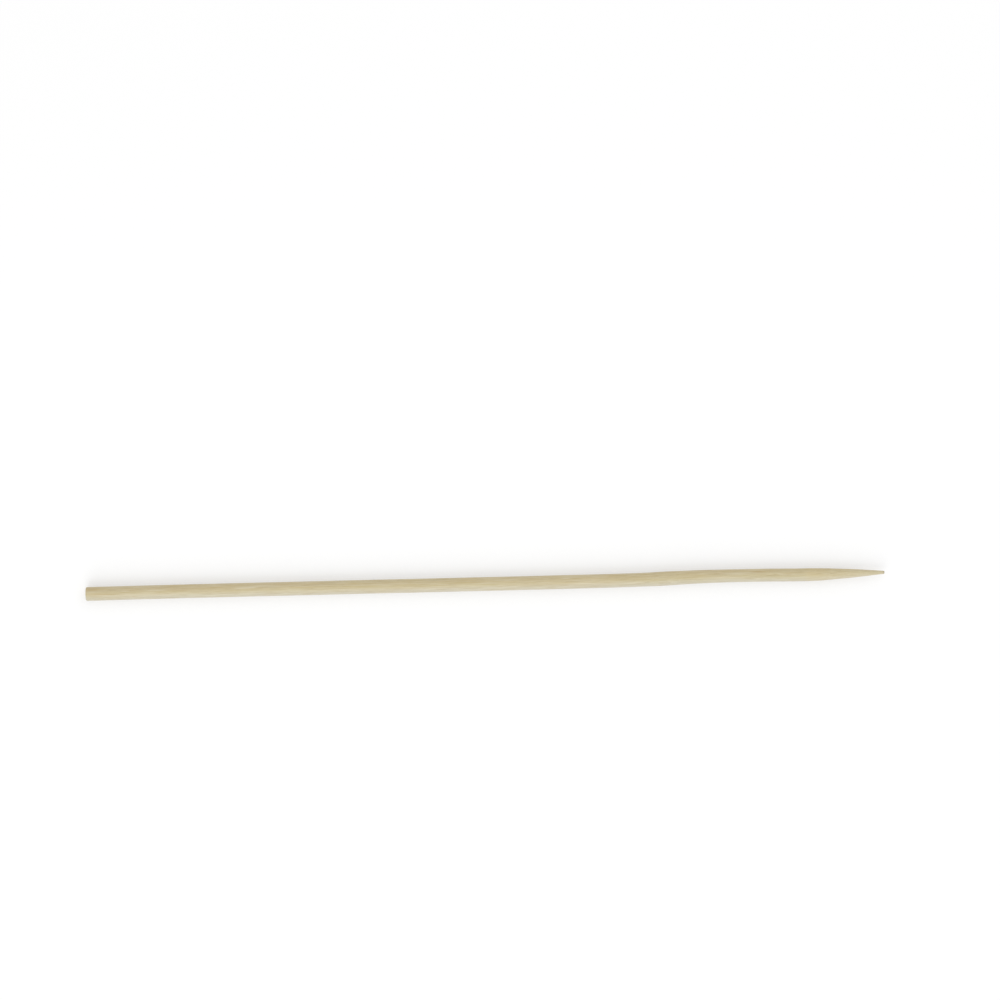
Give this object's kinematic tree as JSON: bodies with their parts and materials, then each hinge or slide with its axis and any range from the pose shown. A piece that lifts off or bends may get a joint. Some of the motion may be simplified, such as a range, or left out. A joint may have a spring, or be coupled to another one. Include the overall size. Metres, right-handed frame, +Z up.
{
  "type": "bamboo skewer",
  "caption": "Round bamboo skewer: a slim planed stick, slightly crooked at the bamboo's node, with a square sawn butt and a long ground point with a blunt nose.",
  "frame": {"origin": "centre of the sawn butt face", "axes": "+X along the stick from the butt to the point, +Z up as it lies, and +Y across it, the way in which it is slightly crooked"},
  "size_m": [0.18, 0.0034, 0.0032],
  "materials": {
    "bamboo": "dry, unvarnished, planed and tumbled"
  },
  "bodies": {
    "root": {"skewer": "bamboo"}
  },
  "joints": []
}
